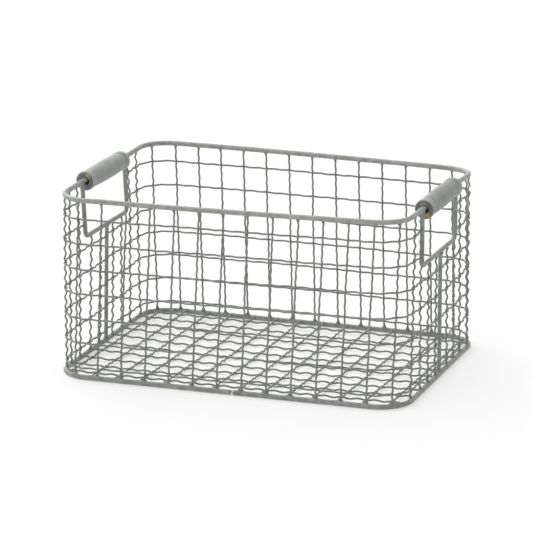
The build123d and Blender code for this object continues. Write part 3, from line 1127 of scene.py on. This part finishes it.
# %% [markdown]
# ## Stage
# The photograph shows the basket on a plain white table in soft studio light, with only a faint
# shadow. The light comes from above, from the left and from behind, and the side that the camera
# stands on is a little darker. The table is a large pale sheet with some white of its own, which
# thins the shadows and lights the undersides of the rods.

# %% Floor: a large pale sheet just under the basket
floor_reach = 14.0
floor_pale = 0.45
floor_own_white = 0.48
table = bpy.data.materials.new("pale_table")
tree = empty_tree(table)
pale = add(tree, "ShaderNodeBsdfDiffuse", {"Color": (floor_pale, floor_pale, floor_pale, 1.0)})
white = add(tree, "ShaderNodeEmission", {"Strength": floor_own_white})
both = add(tree, "ShaderNodeAddShader", {0: pale.outputs[0], 1: white.outputs[0]})
add(tree, "ShaderNodeOutputMaterial", {"Surface": both.outputs["Shader"]})
mesh = bpy.data.meshes.new("studio_floor")
corners = np.array(((-1, -1, 0), (1, -1, 0), (1, 1, 0), (-1, 1, 0))) * floor_reach
mesh.from_pydata(corners.tolist(), [], [(0, 1, 2, 3)])
mesh.materials.append(table)
floor = new_object("studio_floor", mesh)
print(floor.name, "is", 2 * floor_reach, "m wide")

# %% World: soft light, darker on the camera's side, and plain white for the camera
dark_side = Vector((0.85, -0.35, 0.4)).normalized()
world_bright = 0.95
world_dark = 0.36
world = bpy.data.worlds.new("studio")
bpy.context.scene.world = world
tree = empty_tree(world)
place = add(tree, "ShaderNodeTexCoord").outputs["Generated"]
facing = add(tree, "ShaderNodeVectorMath", {0: place, 1: dark_side}, operation="DOT_PRODUCT")
fall = add(tree, "ShaderNodeMapRange", {
    "Value": facing.outputs["Value"], "From Min": -0.1, "From Max": 0.85,
    "To Min": world_bright, "To Max": world_dark,
}, interpolation_type="SMOOTHSTEP").outputs["Result"]
lights, seen = [
    add(tree, "ShaderNodeBackground", {"Color": (1.0, 1.0, 1.0, 1.0), "Strength": strength})
    for strength in (fall, 1.0)
]
# One for rays from the camera and for rays in gloss or glass, nothing for the others.
path = add(tree, "ShaderNodeLightPath").outputs
plain = maths(tree, "MAXIMUM", path["Is Camera Ray"], path["Is Glossy Ray"])
plain = maths(tree, "MAXIMUM", plain, path["Is Transmission Ray"])
mix = add(tree, "ShaderNodeMixShader", {"Fac": plain, 1: lights.outputs[0], 2: seen.outputs[0]})
add(tree, "ShaderNodeOutputWorld", {"Surface": mix.outputs["Shader"]})
print("the world's light falls from", world_bright, "to", world_dark)

# %% Two far, wide lamps, as large softboxes
for name, direction, width, strength in (
    ("overhead_softbox", Vector((-0.25, 0.15, 1.0)), 60, 1.2),
    ("left_rear_softbox", Vector((-0.62, 0.61, 0.55)), 40, 1.0),
):
    lamp = new_object(name, bpy.data.lights.new(name, "SUN"))
    lamp.data.angle = math.radians(width)
    lamp.data.energy = strength
    lamp.location = direction * 2
    lamp.rotation_euler = direction.to_track_quat("Z", "Y").to_euler()
    print(name, "has strength", strength)

# %% [markdown]
# ## Camera
# The photograph was taken with a long lens from the left front, a little above the rim. Its place
# follows from the basket's own outline in the picture: the turn about Z, the tilt and the distance
# that make the rim, the base ring and the mesh fall where they do.

# %% Camera at the photograph's view
picture_width = 533
focal_pixels = 3282.06
sensor_width = 36.0
camera_turn = 0.33846
camera_tilt = 0.26106
camera_roll = -0.0018
camera_distance = 3261.74 * MM
camera_target = Vector((-2.58 * MM, 0, 92.13 * MM + ring_height))
centre_offset = 0.5

data = bpy.data.cameras.new("photo_camera")
data.sensor_width = sensor_width
data.lens = focal_pixels / picture_width * sensor_width
data.clip_end = 60
turned = Matrix.Rotation(camera_turn, 4, "Z")
tilted = Matrix.Rotation(math.pi / 2 - camera_tilt, 4, "X")
turn = turned @ tilted @ Matrix.Rotation(camera_roll, 4, "Z")
shift = centre_offset * camera_distance / focal_pixels
place = camera_target + turn @ Vector((-shift, shift, camera_distance))
camera = new_object("photo_camera", data)
camera.matrix_world = Matrix.Translation(place) @ turn
bpy.context.scene.camera = camera
print("lens", round(data.lens, 1), "mm")

# %% Picture settings
bpy.context.scene.view_settings.view_transform = "Standard"
